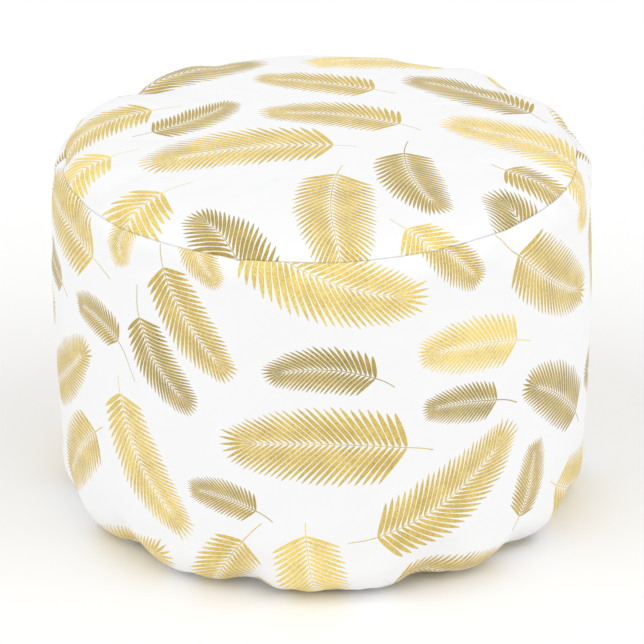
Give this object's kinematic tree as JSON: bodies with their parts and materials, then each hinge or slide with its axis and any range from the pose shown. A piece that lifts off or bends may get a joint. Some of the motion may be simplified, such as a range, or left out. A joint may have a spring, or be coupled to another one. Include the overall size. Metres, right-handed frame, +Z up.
{
  "type": "fabric pouf",
  "caption": "Low round stuffed floor pouf with straight sides and a slightly domed top, in a removable woven cover printed with palm fronds, closed by a zipper across the base.",
  "frame": {"origin": "on the floor, under the middle of the pouf", "axes": "+Z up, along the pouf's round axis; -Y is the front; the zipper runs along X"},
  "size_m": [0.5078, 0.5078, 0.356],
  "materials": {
    "printed_cloth": "white plain-weave polyester with a gold palm-frond print",
    "thread": "white sewing thread",
    "label_cloth": "blank white satin ribbon",
    "zipper_tape": "white woven tape",
    "zipper_coil": "white nylon",
    "zipper_metal": "nickel-plated zinc",
    "liner_cloth": "white nonwoven",
    "filling": "loose polystyrene beads"
  },
  "bodies": {
    "pouf": {"top_panel": "printed_cloth", "side_panel_front": "printed_cloth", "side_panel_back": "printed_cloth", "base_panel_front": "printed_cloth", "base_panel_back": "printed_cloth", "top_seam_thread": "thread", "base_seam_thread": "thread", "side_seam_thread_right": "thread", "side_seam_thread_left": "thread", "base_join_thread_right": "thread", "base_join_thread_left": "thread", "care_label": "label_cloth", "zipper_tape_front": "zipper_tape", "zipper_tape_back": "zipper_tape", "zipper_coil_front": "zipper_coil", "zipper_coil_back": "zipper_coil", "zipper_stitching_front": "thread", "zipper_stitching_back": "thread", "zipper_top_stops": "zipper_metal", "zipper_bottom_stop": "zipper_metal", "liner_top": "liner_cloth", "liner_band": "liner_cloth", "liner_base": "liner_cloth", "liner_top_thread": "thread", "liner_base_thread": "thread", "filling": "filling"},
    "slider": {"zipper_slider": "zipper_metal"},
    "pull": {"zipper_pull": "zipper_metal"}
  },
  "joints": [
    {"name": "zipper_slide", "type": "slide", "parent": "pouf", "child": "slider", "axis": [-1, 0, 0], "range_m": [0, 0.28]},
    {"name": "pull_swing", "type": "hinge", "parent": "slider", "child": "pull", "pos_m": [0.14, 0, 0.0042], "axis": [0, -1, 0], "range_deg": [0, 180]}
  ]
}
